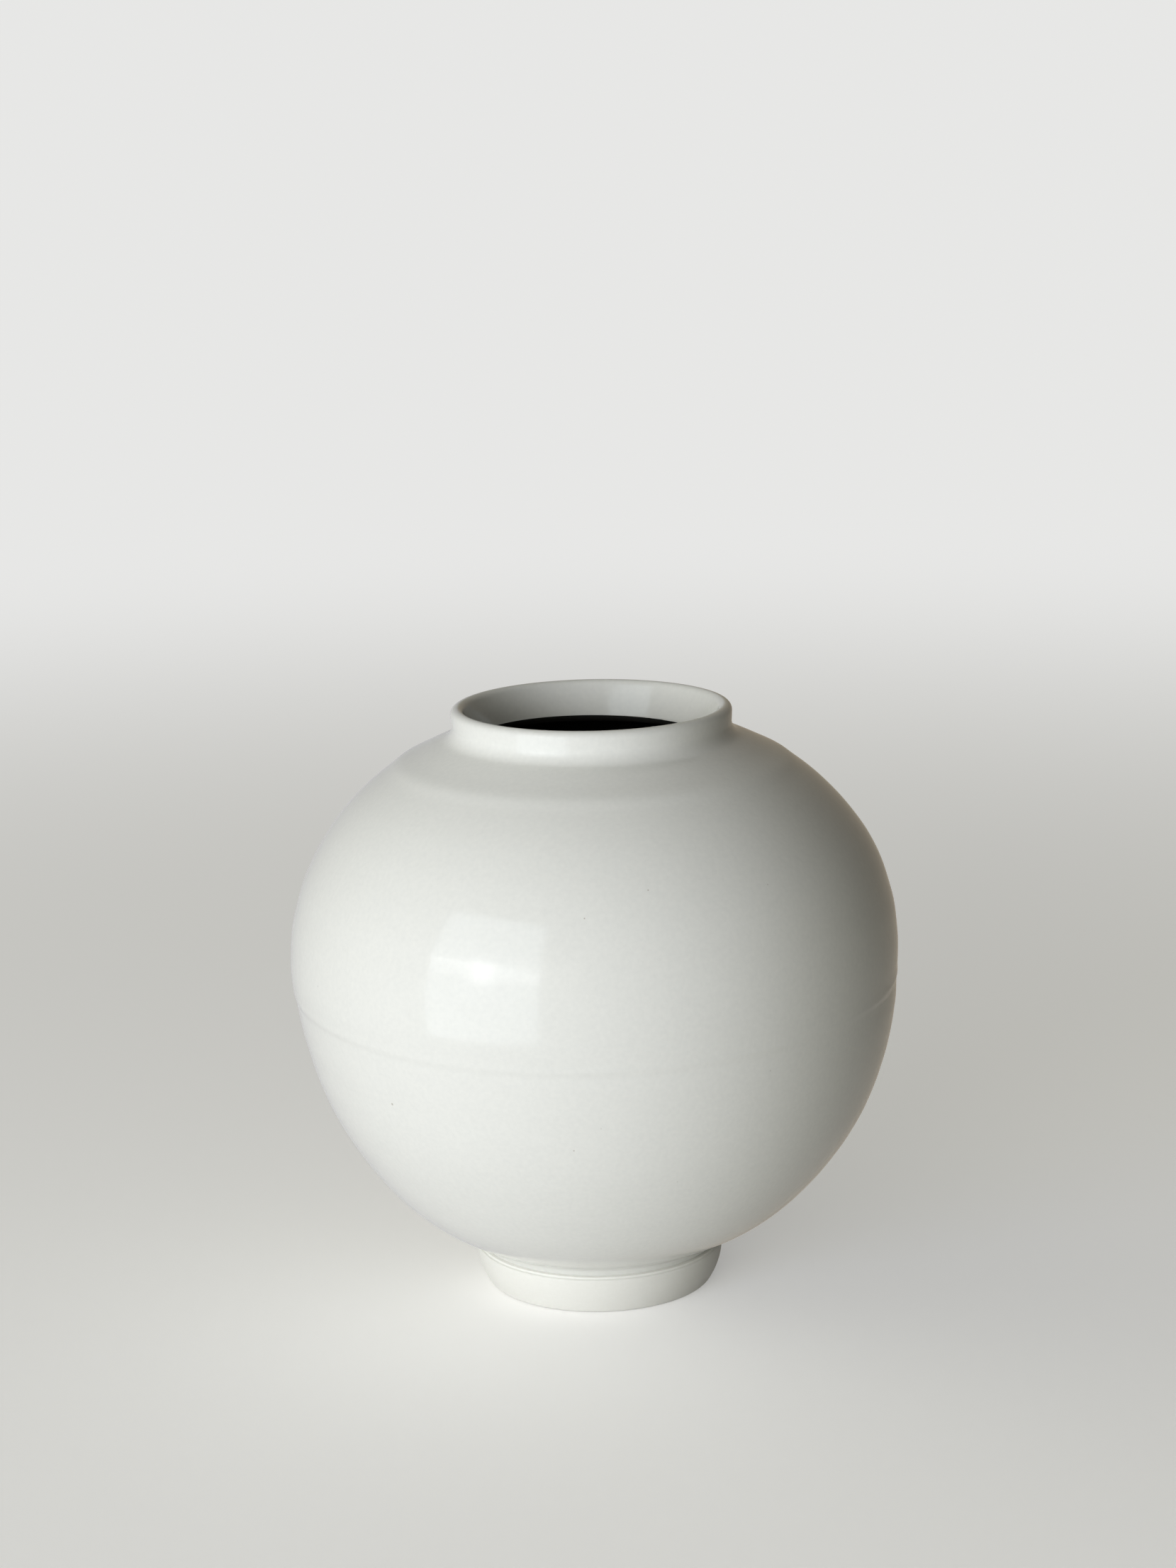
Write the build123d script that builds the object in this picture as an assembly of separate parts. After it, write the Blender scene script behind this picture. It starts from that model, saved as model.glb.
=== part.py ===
from build123d import *

import os
from collections import namedtuple
from math import acos, asin, atan2, cos, degrees, hypot, radians, sin, sqrt

# A small glazed porcelain moon jar, in millimetres. The jar's axis is Z and the foot stands on Z = 0.
# Every piece is turned round that axis from a half section of lines and tangent arcs. The arcs describe
# the bare clay, and a coat of glaze follows them at its own thickness.

# Overall sizes, taken over the glaze
belly_diameter = 130.0
jar_height = 127.1
widest_height = 74.2

# Walls and coats
wall_thickness = 2.8
floor_thickness = 4.5
floor_bend_radius = 12.0
glaze_thickness = 0.3
slip_thickness = 0.4

# Waist joint between the two thrown bowls: how far it lies under the widest ring, and its keyed rim
seam_drop = 7.9
tongue_height = 1.2

# Mouth collar, with its diameter and the thickness of its lip over the glaze
collar_diameter = 59.7
collar_height = 6.4
collar_fillet_radius = 2.4
lip_thickness = 3.0
throat_inset = 1.8
throat_round_radius = 1.4

# Groove over the foot, where the glaze ends on bare clay
groove_diameter = 52.0
groove_height = 2.1
bare_margin = 0.6

# Foot ring: its side swells upwards to upright, and its top stands out under the groove as a small ledge
foot_height = 8.2
foot_ledge = 0.8
foot_taper = 2.8
foot_width = 4.6
well_draft = 0.8
foot_edge_radius = 0.6
foot_top_radius = 0.3

# Slope of the belly against the table where it meets the collar and the groove, and the height angle
# at which its two arcs meet, above and below the widest ring
shoulder_slope = 18.2
base_slope = 21.0
shoulder_join = 32.4
base_join = 35.0

# Two ends of an outline that are nearer than this need no line between them
touching = 1e-6

# Places and radii of the bare clay, worked out from the sizes above
belly_radius = belly_diameter / 2 - glaze_thickness
collar_radius = collar_diameter / 2 - glaze_thickness
collar_base_height = jar_height - collar_height
lip_radius = lip_thickness / 2 - glaze_thickness
lip_centre = (collar_radius - lip_radius, jar_height - glaze_thickness - lip_radius)
throat_radius = collar_radius + 2 * glaze_thickness - lip_thickness - throat_inset
seam_height = widest_height - seam_drop
base_height = foot_height + slip_thickness
groove_radius = groove_diameter / 2
groove_top_height = base_height + groove_height
floor_height = base_height + floor_thickness

# An arc of the half section: its centre (r, z), its radius on the clay, its first and last angle in
# degrees up from the outward direction, and whether the clay lies round the outside of the arc
Bend = namedtuple("Bend", "centre radius start end hollow", defaults=(False,))


def bend_point(bend, angle, coat=0):
    """Point on a bend at an angle, or on a coat of that thickness over it."""
    radius = bend.radius - coat if bend.hollow else bend.radius + coat
    turn = radians(angle)
    return Vector(bend.centre[0] + radius * cos(turn), 0, bend.centre[1] + radius * sin(turn))


def bend_edge(bend, coat=0):
    """Arc from the start of a bend to its end, on the clay or on a coat over it."""
    middle = (bend.start + bend.end) / 2
    return ThreePointArc(*(bend_point(bend, angle, coat) for angle in (bend.start, middle, bend.end)))


def edges_along(bends, coat=0):
    """Arcs of several bends in order."""
    return [bend_edge(bend, coat) for bend in bends]


def backwards(bends):
    """The same bends run the other way."""
    return [bend._replace(start=bend.end, end=bend.start) for bend in reversed(bends)]


def inside(bend):
    """The inner face of the wall behind an outer bend."""
    return bend._replace(radius=bend.radius - wall_thickness, hollow=True)


def angle_at_height(bend, height):
    """Angle at which a bend on the outward side of its centre passes a height."""
    return degrees(asin((height - bend.centre[1]) / bend.radius))


def direction(from_centre, to_centre):
    """Angle in degrees of the line from one centre to another."""
    return degrees(atan2(to_centre[1] - from_centre[1], to_centre[0] - from_centre[0]))


def belly_bends(end_radius, end_height, end_slope, join, side):
    """Two tangent arcs from the widest ring to an end point, up (side 1) or down (side -1)."""
    end = 90 - end_slope
    reach, rise = end_radius - belly_radius, side * (end_height - widest_height)
    first_reach, first_rise = cos(radians(join)) - 1, sin(radians(join))
    last_reach = cos(radians(end)) - cos(radians(join))
    last_rise = sin(radians(end)) - sin(radians(join))
    area = first_reach * last_rise - last_reach * first_rise
    first_radius = (reach * last_rise - last_reach * rise) / area
    last_radius = (first_reach * rise - reach * first_rise) / area
    first_centre = (belly_radius - first_radius, widest_height)
    step = first_radius - last_radius
    last_centre = (
        first_centre[0] + step * cos(radians(join)),
        first_centre[1] + side * step * sin(radians(join)),
    )
    return (
        Bend(first_centre, first_radius, 0, side * join),
        Bend(last_centre, last_radius, side * join, side * end),
    )


upper_belly, shoulder = belly_bends(collar_radius, collar_base_height, shoulder_slope, shoulder_join, 1)
lower_belly, base_curve = belly_bends(groove_radius, groove_top_height, base_slope, base_join, -1)


def collar_fillet_bend():
    """Hollow arc that leads the shoulder into the collar's upright wall."""
    centre_r = collar_radius + collar_fillet_radius
    reach = centre_r - shoulder.centre[0]
    rise = sqrt((shoulder.radius + collar_fillet_radius) ** 2 - reach**2)
    centre = (centre_r, shoulder.centre[1] + rise)
    return Bend(centre, collar_fillet_radius, direction(shoulder.centre, centre) - 180, -180, True)


def throat_bend():
    """Round edge at the narrowest ring of the mouth, tangent to the ceiling inside."""
    ceiling = inside(shoulder)
    centre_r = throat_radius + throat_round_radius
    reach = centre_r - ceiling.centre[0]
    rise = sqrt((ceiling.radius + throat_round_radius) ** 2 - reach**2)
    centre = (centre_r, ceiling.centre[1] + rise)
    funnel = direction(lip_centre, centre)
    spacing = hypot(centre[0] - lip_centre[0], centre[1] - lip_centre[1])
    lean = degrees(acos((lip_radius - throat_round_radius) / spacing))
    return Bend(centre, throat_round_radius, funnel - lean + 360, direction(ceiling.centre, centre) + 180)


def floor_bend():
    """Hollow arc between the wall inside and the flat floor."""
    wall = inside(base_curve)
    centre_z = floor_height + floor_bend_radius
    reach = sqrt((wall.radius - floor_bend_radius) ** 2 - (wall.centre[1] - centre_z) ** 2)
    centre = (wall.centre[0] + reach, centre_z)
    return Bend(centre, floor_bend_radius, direction(wall.centre, centre), -90, True)


collar_fillet = collar_fillet_bend()
throat = throat_bend()
floor_edge = floor_bend()
lip = Bend(lip_centre, lip_radius, 0, throat.start)

# Upper side of the throat, down to its narrowest ring, and the lower side of it
throat_top = throat._replace(end=180)
throat_bottom = throat._replace(start=180)

# The bends as the pieces use them: the shoulder ends at the collar's fillet
shoulder_outside = shoulder._replace(end=collar_fillet.start + 180)
ceiling_inside = inside(shoulder)._replace(end=throat.end - 180)
base_inside = inside(base_curve)._replace(end=floor_edge.start)


def turned(*path):
    """Solid of revolution of a half section: points, arcs and lists of arcs, joined by lines."""
    steps = [step for item in path for step in (item if isinstance(item, list) else [item])]
    starts = [step @ 0 if isinstance(step, Edge) else step for step in steps]
    ends = [step @ 1 if isinstance(step, Edge) else step for step in steps]
    edges = []
    for step, start, before in zip(steps, starts, ends[-1:] + ends[:-1]):
        if (start - before).length > touching:
            edges.append(Line(before, start))
        if isinstance(step, Edge):
            edges.append(step)
    return revolve(make_face(edges), axis=Axis.Z)


def waist_rim(height):
    """The keyed rim at a height: angle outside, apex of the tongue, angle inside."""
    outer_angle = angle_at_height(lower_belly, height)
    inner_angle = angle_at_height(inside(lower_belly), height)
    rim_middle = (bend_point(lower_belly, outer_angle) + bend_point(inside(lower_belly), inner_angle)) / 2
    apex = rim_middle + Vector(0, 0, tongue_height)
    return outer_angle, apex, inner_angle


# Height angles and tongue of the lower bowl's rim and of the upper bowl's rim, a slip layer apart
lower_rim = waist_rim(seam_height - slip_thickness / 2)
upper_rim = waist_rim(seam_height + slip_thickness / 2)


def collar_seat():
    """Where the collar's slip layer ends below: angle on the shoulder, angle on the throat."""
    outer_height = bend_point(shoulder_outside, shoulder_outside.end).Z - slip_thickness
    outer_angle = angle_at_height(shoulder, outer_height)
    return outer_angle, 180 + degrees(asin(slip_thickness / throat.radius))


seat_outer_angle, seat_inner_angle = collar_seat()


def lower_bowl():
    """Thrown bowl with the jar's floor and the lower half of the belly."""
    outer_angle, apex, inner_angle = lower_rim
    outer = backwards([lower_belly._replace(start=outer_angle), base_curve])
    inner = [inside(lower_belly)._replace(start=inner_angle), base_inside, floor_edge]
    return turned(
        Vector(0, 0, floor_height),
        Vector(0, 0, base_height),
        Vector(groove_radius, 0, base_height),
        edges_along(outer),
        apex,
        edges_along(inner),
    )


def upper_bowl():
    """Thrown bowl turned over on the lower one, with the upper half of the belly and the shoulder."""
    outer_angle, apex, inner_angle = upper_rim
    outer = [
        lower_belly._replace(start=outer_angle, end=0),
        upper_belly,
        shoulder_outside._replace(end=seat_outer_angle),
    ]
    inner = backwards([
        inside(lower_belly)._replace(start=inner_angle, end=0),
        inside(upper_belly),
        ceiling_inside,
    ])
    under_collar = bend_edge(throat_bottom._replace(start=seat_inner_angle))
    return turned(apex, edges_along(outer), under_collar, edges_along(inner))


def waist_slip():
    """Ring of slip between the keyed rims of the two bowls."""
    outer = lower_belly._replace(start=lower_rim[0], end=upper_rim[0])
    inner = inside(lower_belly)._replace(start=upper_rim[2], end=lower_rim[2])
    return turned(bend_edge(outer), upper_rim[1], bend_edge(inner), lower_rim[1])


def mouth_collar():
    """Short upright ring round the mouth, with its fillet, lip and funnel."""
    return turned(edges_along([collar_fillet, lip, throat_top]))


def collar_slip():
    """Layer of slip between the collar and the top of the upper bowl."""
    outer = shoulder_outside._replace(start=seat_outer_angle)
    inner = throat_bottom._replace(end=seat_inner_angle)
    return turned(bend_edge(outer), bend_edge(inner))


# Outer and inner radius of the foot ring at its foot and at its top
foot_top = groove_radius + foot_ledge
foot_bottom = foot_top - foot_taper
well_bottom = foot_bottom - foot_width
well_top = well_bottom - well_draft


def foot_side():
    """Round side of the foot ring, upright at its top and drawn in by the taper at its foot."""
    radius = (foot_height**2 + foot_taper**2) / (2 * foot_taper)
    return Bend((foot_top - radius, foot_height), radius, -degrees(asin(foot_height / radius)), 0)


def foot_ring():
    """Bare ring that the jar stands on, wider at its top."""
    ring = turned(Vector(well_bottom, 0, 0), bend_edge(foot_side()), Vector(well_top, 0, foot_height))
    circles = ring.edges().filter_by(GeomType.CIRCLE).group_by(Axis.Z)
    ring = fillet(circles[0], foot_edge_radius)
    top_circles = ring.edges().filter_by(GeomType.CIRCLE).group_by(Axis.Z)[-1]
    return fillet(top_circles.sort_by(SortBy.RADIUS)[-1], foot_top_radius)


def foot_slip():
    """Layer of slip between the foot ring and the bowl's floor."""
    return turned(
        Vector(well_top, 0, foot_height),
        Vector(groove_radius, 0, foot_height),
        Vector(groove_radius, 0, base_height),
        Vector(well_top, 0, base_height),
    )


def outer_glaze():
    """Glaze over belly, shoulder and collar, down to the narrowest ring of the mouth."""
    glaze_start = base_curve.end + degrees(bare_margin / base_curve.radius)
    bends = [
        base_curve._replace(start=glaze_start, end=base_curve.start),
        lower_belly._replace(start=lower_belly.end, end=0),
        upper_belly,
        shoulder_outside,
        collar_fillet,
        lip,
        throat_top,
    ]
    roll = glaze_thickness / 2
    rolled_edge = ThreePointArc(
        bend_point(base_curve, glaze_start),
        bend_point(base_curve, glaze_start - degrees(roll / base_curve.radius), roll),
        bend_point(base_curve, glaze_start, glaze_thickness),
    )
    return turned(rolled_edge, edges_along(bends, glaze_thickness), edges_along(backwards(bends)))


def inner_glaze():
    """Glaze over the whole inside, from the narrowest ring of the mouth to the floor."""
    bends = [
        throat_bottom,
        *backwards([inside(upper_belly), ceiling_inside]),
        inside(lower_belly),
        base_inside,
        floor_edge,
    ]
    return turned(
        edges_along(bends, glaze_thickness),
        Vector(0, 0, floor_height + glaze_thickness),
        Vector(0, 0, floor_height),
        edges_along(backwards(bends)),
    )


pieces = {
    "lower_bowl": lower_bowl,
    "upper_bowl": upper_bowl,
    "waist_slip": waist_slip,
    "mouth_collar": mouth_collar,
    "collar_slip": collar_slip,
    "foot_ring": foot_ring,
    "foot_slip": foot_slip,
    "outer_glaze": outer_glaze,
    "inner_glaze": inner_glaze,
}

os.makedirs("parts", exist_ok=True)
for name, make_piece in pieces.items():
    export_step(make_piece(), f"parts/{name}.step")
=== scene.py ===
"""Small glazed porcelain moon jar, dressed over its packed construction model.

The jar is turned from one half section of lines and tangent arcs. Every piece follows those arcs, and one
form of the whole jar, ThrownForm, then gives all of them the same unevenness of hand throwing, so that
clay, slip and glaze still lie face to face. Sizes are in millimetres and turn into metres in LatheMesh.
"""

from __future__ import annotations

import logging
import math
from dataclasses import dataclass, replace
from enum import Enum

import bpy
import numpy as np
from mathutils import Matrix, Vector

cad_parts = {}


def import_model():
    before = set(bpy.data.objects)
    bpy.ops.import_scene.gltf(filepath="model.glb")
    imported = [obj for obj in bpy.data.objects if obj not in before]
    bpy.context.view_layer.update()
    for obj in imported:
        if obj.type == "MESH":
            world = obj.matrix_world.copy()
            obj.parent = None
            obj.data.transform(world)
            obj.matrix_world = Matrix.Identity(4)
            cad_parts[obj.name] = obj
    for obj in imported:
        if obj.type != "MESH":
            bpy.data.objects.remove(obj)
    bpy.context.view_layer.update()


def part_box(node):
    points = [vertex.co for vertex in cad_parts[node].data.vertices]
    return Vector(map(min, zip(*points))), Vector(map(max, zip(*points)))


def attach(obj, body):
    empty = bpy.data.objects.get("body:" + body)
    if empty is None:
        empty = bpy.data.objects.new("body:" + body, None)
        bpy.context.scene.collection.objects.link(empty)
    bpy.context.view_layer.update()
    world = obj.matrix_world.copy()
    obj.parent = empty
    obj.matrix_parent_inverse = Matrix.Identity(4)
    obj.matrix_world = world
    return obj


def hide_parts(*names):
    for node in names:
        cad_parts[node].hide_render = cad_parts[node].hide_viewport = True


LOG = logging.getLogger("moon_jar")

METRES = 0.001
LEAST_STEPS = 4  # fewest steps along an arc

Point = tuple[float, float]
Colour = tuple[float, float, float, float]
Spot = tuple[float, float, float, float]  # X, Y, Z and radius, in metres


class Slot(Enum):
    """Material slots of the record."""

    BODY = "porcelain_body"
    FOOT = "bare_foot"
    SLIP = "slip"
    OUTER = "outer_glaze"
    INNER = "inner_glaze"


class Half(Enum):
    """Upper and lower half of the belly, as the sign of the way up."""

    UPPER = 1
    LOWER = -1


def ease(value: np.ndarray) -> np.ndarray:
    """Smooth step from 0 to 1 over values from 0 to 1."""
    held = np.clip(value, 0.0, 1.0)
    return held * held * (3.0 - 2.0 * held)


def step_up(value: np.ndarray, start: float, end: float) -> np.ndarray:
    """Smooth step from 0 where a value reaches the start to 1 where it reaches the end."""
    return ease((value - start) / (end - start))


def bump(value: np.ndarray, width: float) -> np.ndarray:
    """Soft round hill of height 1 at zero, about two widths across."""
    return np.exp(-((value / width) ** 2))


def direction(start: Point, end: Point) -> float:
    """Angle in degrees of the line from one centre to another."""
    return math.degrees(math.atan2(end[1] - start[1], end[0] - start[0]))


def soft_corner(start: Point, corner: Point, end: Point, count: int) -> list[Point]:
    """Points of a soft curve that cuts a corner off.

    Args:
        start: First point of the curve.
        corner: Corner that it cuts off.
        end: Last point of the curve.
        count: Number of points.

    Returns:
        Radius and height of each point, both ends included.
    """
    return [
        tuple(
            (1 - share) ** 2 * start[axis] + 2 * share * (1 - share) * corner[axis] + share**2 * end[axis]
            for axis in range(2)
        )
        for share in np.linspace(0.0, 1.0, count)
    ]


@dataclass(frozen=True)
class Bend:
    """Arc of the half section.

    Attributes:
        centre: Radius and height of its centre.
        radius: Its radius on the bare clay.
        start: First angle, in degrees up from the outward direction.
        end: Last angle.
        hollow: True where the clay lies round the outside of the arc.
    """

    centre: Point
    radius: float
    start: float
    end: float
    hollow: bool = False

    def at(self, angle: float, coat: float = 0.0) -> Point:
        """Point at an angle, on the clay or on a coat over it.

        Args:
            angle: Angle in degrees up from the outward direction.
            coat: Thickness of the coat.

        Returns:
            Radius and height of the point.
        """
        radius = self.radius - coat if self.hollow else self.radius + coat
        turn = math.radians(angle)
        return self.centre[0] + radius * math.cos(turn), self.centre[1] + radius * math.sin(turn)

    def between(self, start: float, end: float) -> Bend:
        """The same arc with other ends."""
        return replace(self, start=start, end=end)

    def backwards(self) -> Bend:
        """The same arc run the other way."""
        return replace(self, start=self.end, end=self.start)

    def inside(self, wall: float) -> Bend:
        """The inner face of a wall behind this arc."""
        return replace(self, radius=self.radius - wall, hollow=True)

    def angle_at(self, height: float) -> float:
        """Angle at which the outward side of the arc passes a height."""
        return math.degrees(math.asin((height - self.centre[1]) / self.radius))

    def walk(self, step: float, coat: float = 0.0) -> list[Point]:
        """Evenly spaced points along the arc.

        Args:
            step: Widest spacing of the points.
            coat: Thickness of the coat that they lie on.

        Returns:
            Radius and height of each point, both ends included.
        """
        length = abs(math.radians(self.end - self.start)) * self.radius
        count = max(LEAST_STEPS, math.ceil(length / step))
        return [self.at(float(angle), coat) for angle in np.linspace(self.start, self.end, count + 1)]


@dataclass
class Outline:
    """Half section of the bare clay, worked out from the jar's driving sizes."""

    belly_diameter: float
    jar_height: float
    groove_diameter: float
    foot_height: float
    widest_height: float = 74.2
    wall: float = 2.8
    floor: float = 4.5
    floor_bend: float = 12.0
    glaze: float = 0.3
    slip: float = 0.4
    seam_drop: float = 7.9
    tongue: float = 1.2
    collar_diameter: float = 59.7
    collar_height: float = 6.4
    collar_fillet_radius: float = 3.5
    lip_thickness: float = 3.0
    throat_inset: float = 1.8
    throat_round: float = 1.4
    groove_height: float = 2.1
    groove_depth: float = 0.6
    groove_rows: int = 10
    shoulder_slope: float = 18.2
    base_slope: float = 21.0
    shoulder_join: float = 32.4
    base_join: float = 35.0

    @classmethod
    def from_frame(cls) -> Outline:
        """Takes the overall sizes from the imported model's own boxes.

        Returns:
            The outline of the jar that was packed.
        """
        glaze_low, glaze_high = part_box("outer_glaze")
        _, slip_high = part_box("foot_slip")
        _, foot_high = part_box("foot_ring")
        return cls(
            belly_diameter=(glaze_high.x - glaze_low.x) / METRES,
            jar_height=glaze_high.z / METRES,
            groove_diameter=2 * slip_high.x / METRES,
            foot_height=foot_high.z / METRES,
        )

    def __post_init__(self) -> None:
        """Works out the bends from the sizes."""
        self.belly_radius = self.belly_diameter / 2 - self.glaze
        self.collar_radius = self.collar_diameter / 2 - self.glaze
        self.lip_radius = self.lip_thickness / 2 - self.glaze
        self.lip_centre = (self.collar_radius - self.lip_radius, self.jar_height - self.glaze - self.lip_radius)
        self.seam_height = self.widest_height - self.seam_drop
        self.base_height = self.foot_height + self.slip
        self.groove_radius = self.groove_diameter / 2
        self.groove_top = self.base_height + self.groove_height
        self.floor_height = self.base_height + self.floor
        collar_base = self.jar_height - self.collar_height
        self.upper_belly, self.shoulder = self._belly(
            (self.collar_radius, collar_base), self.shoulder_slope, self.shoulder_join, Half.UPPER
        )
        self.lower_belly, self.base_curve = self._belly(
            (self.groove_radius, self.groove_top), self.base_slope, self.base_join, Half.LOWER
        )
        self.collar_fillet = self._collar_fillet()
        self.throat = self._throat()
        self.floor_edge = self._floor_edge()
        self.lip = Bend(self.lip_centre, self.lip_radius, 0.0, self.throat.start)
        self.throat_top = self.throat.between(self.throat.start, 180.0)
        self.throat_bottom = self.throat.between(180.0, self.throat.end)
        self.shoulder_outside = self.shoulder.between(self.shoulder.start, self.collar_fillet.start + 180.0)
        self.ceiling = self.shoulder.inside(self.wall).between(self.shoulder.start, self.throat.end - 180.0)
        self.base_inside = self.base_curve.inside(self.wall).between(self.base_curve.start, self.floor_edge.start)

    def _belly(self, end: Point, slope: float, join: float, half: Half) -> tuple[Bend, Bend]:
        """Two tangent arcs from the widest ring to an end point.

        Args:
            end: Radius and height of the end point.
            slope: Slope of the surface there, against the table.
            join: Height angle at which the arcs meet.
            half: Half of the belly that they run over.

        Returns:
            The arc beside the widest ring and the arc beyond it.
        """
        side, last = half.value, 90.0 - slope
        reach, rise = end[0] - self.belly_radius, side * (end[1] - self.widest_height)
        turn, stop = math.radians(join), math.radians(last)
        first_reach, first_rise = math.cos(turn) - 1.0, math.sin(turn)
        last_reach, last_rise = math.cos(stop) - math.cos(turn), math.sin(stop) - math.sin(turn)
        area = first_reach * last_rise - last_reach * first_rise
        first = (reach * last_rise - last_reach * rise) / area
        second = (first_reach * rise - reach * first_rise) / area
        centre = (self.belly_radius - first, self.widest_height)
        step = first - second
        next_centre = (centre[0] + step * math.cos(turn), centre[1] + side * step * math.sin(turn))
        return (
            Bend(centre, first, 0.0, side * join),
            Bend(next_centre, second, side * join, side * last),
        )

    def _collar_fillet(self) -> Bend:
        """Hollow arc that leads the shoulder into the collar's upright wall.

        Returns:
            The arc, from the shoulder up.
        """
        centre_r = self.collar_radius + self.collar_fillet_radius
        reach = centre_r - self.shoulder.centre[0]
        rise = math.sqrt((self.shoulder.radius + self.collar_fillet_radius) ** 2 - reach**2)
        centre = (centre_r, self.shoulder.centre[1] + rise)
        start = direction(self.shoulder.centre, centre) - 180.0
        return Bend(centre, self.collar_fillet_radius, start, -180.0, True)

    def _throat(self) -> Bend:
        """Round edge at the narrowest ring of the mouth, tangent to the ceiling inside.

        Returns:
            The arc, from the lip down to the ceiling.
        """
        ceiling = self.shoulder.inside(self.wall)
        narrowest = self.collar_radius + 2 * self.glaze - self.lip_thickness - self.throat_inset
        centre_r = narrowest + self.throat_round
        reach = centre_r - ceiling.centre[0]
        rise = math.sqrt((ceiling.radius + self.throat_round) ** 2 - reach**2)
        centre = (centre_r, ceiling.centre[1] + rise)
        spacing = math.dist(centre, self.lip_centre)
        lean = math.degrees(math.acos((self.lip_radius - self.throat_round) / spacing))
        start = direction(self.lip_centre, centre) - lean + 360.0
        return Bend(centre, self.throat_round, start, direction(ceiling.centre, centre) + 180.0)

    def _floor_edge(self) -> Bend:
        """Hollow arc between the wall inside and the flat floor.

        Returns:
            The arc, from the wall down.
        """
        wall = self.base_curve.inside(self.wall)
        centre_z = self.floor_height + self.floor_bend
        reach = math.sqrt((wall.radius - self.floor_bend) ** 2 - (wall.centre[1] - centre_z) ** 2)
        centre = (wall.centre[0] + reach, centre_z)
        return Bend(centre, self.floor_bend, direction(wall.centre, centre), -90.0, True)

    def waist_rim(self, height: float) -> tuple[float, Point, float]:
        """Keyed rim of a bowl at a height.

        Args:
            height: Height of the rim, at the wall's middle.

        Returns:
            Angle on the outer wall, apex of the tongue, and angle on the inner wall.
        """
        inner = self.lower_belly.inside(self.wall)
        outer_angle, inner_angle = self.lower_belly.angle_at(height), inner.angle_at(height)
        outer_point, inner_point = self.lower_belly.at(outer_angle), inner.at(inner_angle)
        apex = ((outer_point[0] + inner_point[0]) / 2, (outer_point[1] + inner_point[1]) / 2 + self.tongue)
        return outer_angle, apex, inner_angle

    def groove_wall(self) -> list[Point]:
        """Hollow wall over the foot, from the slip up to the base of the belly.

        Returns:
            Radius and height of each point.
        """
        return [
            (
                self.groove_radius - self.groove_depth * math.sin(math.pi * math.sqrt(share)),
                self.base_height + self.groove_height * share,
            )
            for share in np.linspace(0.0, 1.0, self.groove_rows + 1)
        ]

    def collar_seat(self) -> tuple[float, float]:
        """Angles on the shoulder and on the throat where the collar's slip layer ends below.

        Returns:
            The angle on the shoulder and the angle on the throat.
        """
        outer_height = self.shoulder_outside.at(self.shoulder_outside.end)[1] - self.slip
        inner_angle = 180.0 + math.degrees(math.asin(self.slip / self.throat.radius))
        return self.shoulder.angle_at(outer_height), inner_angle


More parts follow.
